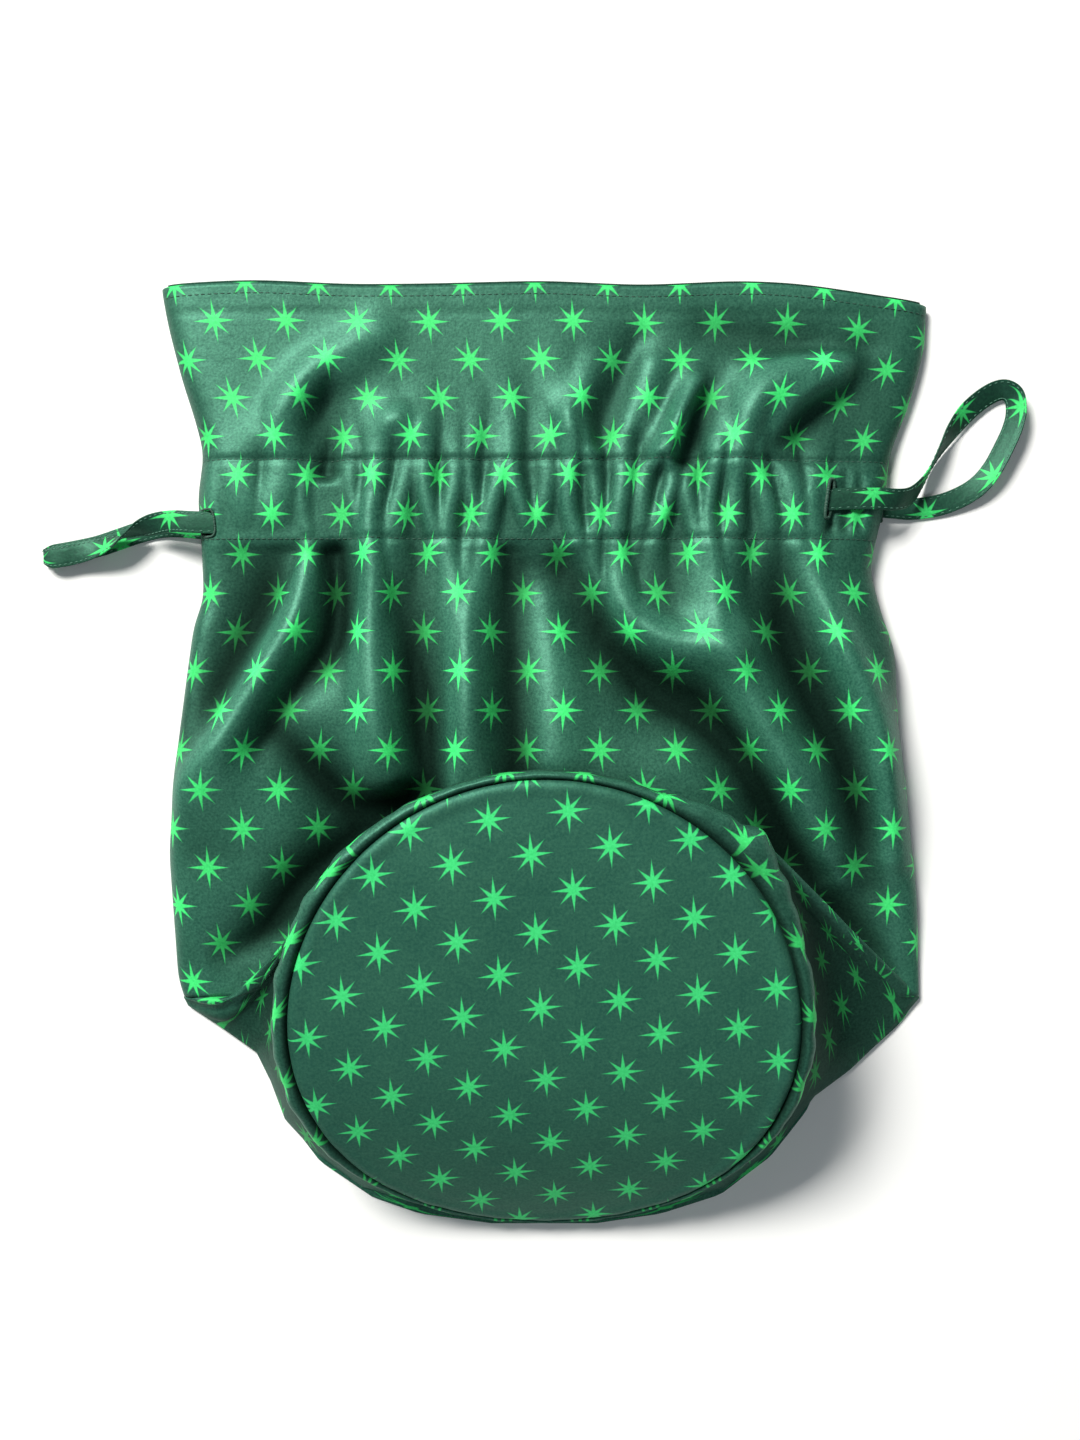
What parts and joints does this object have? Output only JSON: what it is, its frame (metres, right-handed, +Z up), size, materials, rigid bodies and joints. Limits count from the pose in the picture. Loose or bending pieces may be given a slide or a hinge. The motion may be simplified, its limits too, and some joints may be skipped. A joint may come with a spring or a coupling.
{
  "type": "drawstring gift sack",
  "caption": "Soft satin gift sack with a stiffened round base folded up over the front, a hemmed mouth and a stitched casing with two flat drawstring loops.",
  "frame": {"origin": "on the table, under the middle of the lying sack, drawstring loops left out", "axes": "+X across the sack to its right, +Y along the sack towards the mouth, +Z up from the table through the folded base"},
  "size_m": [0.4104, 0.3896, 0.0637],
  "materials": {
    "satin": "satin",
    "ribbon": "satin",
    "thread": "matte",
    "padding": "matte",
    "stiffener": "matte"
  },
  "bodies": {
    "sack": {"back_wall": "satin", "front_wall": "satin", "folded_wall": "satin", "side_seam_left": "satin", "side_seam_right": "satin", "mouth_hem_front": "satin", "mouth_hem_back": "satin", "casing_strip_front": "satin", "casing_strip_back": "satin", "hem_thread_front": "thread", "hem_thread_back": "thread", "casing_thread_front": "thread", "casing_thread_back": "thread", "buttonhole_right_front": "thread", "buttonhole_right_back": "thread", "buttonhole_left_front": "thread", "buttonhole_left_back": "thread"},
    "base": {"base_cover": "satin", "base_pad": "padding", "base_stiffener": "stiffener", "base_lining": "satin", "base_seam": "satin"},
    "right_drawstring": {"right_drawstring_loop": "ribbon", "right_drawstring_runs": "ribbon", "right_drawstring_turn": "ribbon"},
    "left_drawstring": {"left_drawstring_loop": "ribbon", "left_drawstring_runs": "ribbon", "left_drawstring_turn": "ribbon"}
  },
  "joints": [
    {"name": "base_fold", "type": "hinge", "parent": "sack", "child": "base", "pos_m": [0, -0.1925, 0.003], "axis": [1, 0, 0], "range_deg": [0, 50], "deforming": ["folded_wall"]},
    {"name": "right_pull", "type": "slide", "parent": "sack", "child": "right_drawstring", "axis": [1, 0, 0], "range_m": [0, 0.23], "deforming": ["right_drawstring_turn"]},
    {"name": "left_pull", "type": "slide", "parent": "sack", "child": "left_drawstring", "axis": [-1, 0, 0], "range_m": [0, 0.23], "deforming": ["left_drawstring_turn"]}
  ]
}
